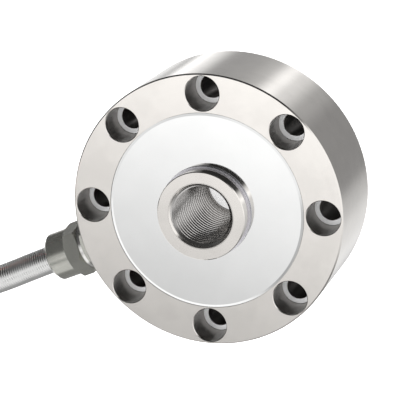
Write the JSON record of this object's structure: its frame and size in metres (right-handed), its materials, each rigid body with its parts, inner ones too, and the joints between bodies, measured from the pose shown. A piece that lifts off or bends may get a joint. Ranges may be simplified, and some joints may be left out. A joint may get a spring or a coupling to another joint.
{
  "type": "pancake load cell",
  "caption": "Round flanged steel load cell with eight counterbored holes, a polished cover, a threaded hub and an armoured lead.",
  "frame": {"origin": "centre of the ring's base face, on the axis of the hub", "axes": "+Z along the hub axis from the base towards the hub's face, +X out through the cable gland"},
  "size_m": [0.2897, 0.191, 0.0475],
  "materials": {
    "body_steel": "fine turned and ground",
    "cover_steel": "polished",
    "gland_steel": "turned, satin",
    "hose_steel": "ribbed, bright",
    "lock_steel": "bright",
    "brass": "turned",
    "seal_rubber": "matt",
    "gauge_film": "coated film",
    "ribbon_film": "satin",
    "board_green": "satin",
    "resistor_body": "satin",
    "cable_jacket": "satin",
    "tie_nylon": "satin",
    "core_red": "satin",
    "core_black": "satin",
    "core_green": "satin",
    "core_white": "satin",
    "core_shield": "clear over braid"
  },
  "bodies": {
    "root": {"sensing_element": "body_steel", "top_cover": "cover_steel", "bottom_cover": "cover_steel", "strain_gauge_1": "gauge_film", "strain_gauge_2": "gauge_film", "strain_gauge_3": "gauge_film", "strain_gauge_4": "gauge_film", "strain_gauge_5": "gauge_film", "strain_gauge_6": "gauge_film", "strain_gauge_7": "gauge_film", "strain_gauge_8": "gauge_film", "gauge_ribbon_1": "ribbon_film", "gauge_ribbon_2": "ribbon_film", "gauge_ribbon_3": "ribbon_film", "gauge_ribbon_4": "ribbon_film", "gauge_ribbon_5": "ribbon_film", "gauge_ribbon_6": "ribbon_film", "gauge_ribbon_7": "ribbon_film", "gauge_ribbon_8": "ribbon_film", "bridge_board": "board_green", "zero_trim_resistor": "resistor_body", "span_trim_resistor": "resistor_body", "zero_drift_resistor": "resistor_body", "gland_body": "gland_steel", "gland_nut": "gland_steel", "gland_seal_washer": "seal_rubber", "gland_lock_washer": "lock_steel", "gland_cable_seal": "seal_rubber", "gland_thrust_ring": "brass", "hose_ferrule": "brass", "signal_cable": "cable_jacket", "inner_lead_red": "core_red", "inner_lead_black": "core_black", "inner_lead_green": "core_green", "inner_lead_white": "core_white", "armour_hose_run": "hose_steel", "armour_hose_coil": "hose_steel", "coil_tie_1": "tie_nylon", "coil_tie_2": "tie_nylon", "hose_end_ferrule": "lock_steel", "cable_tail": "cable_jacket", "heat_shrink_sleeve": "seal_rubber", "tail_lead_red": "core_red", "tail_lead_black": "core_black", "tail_lead_green": "core_green", "tail_lead_white": "core_white", "tail_lead_shield": "core_shield"}
  },
  "joints": []
}
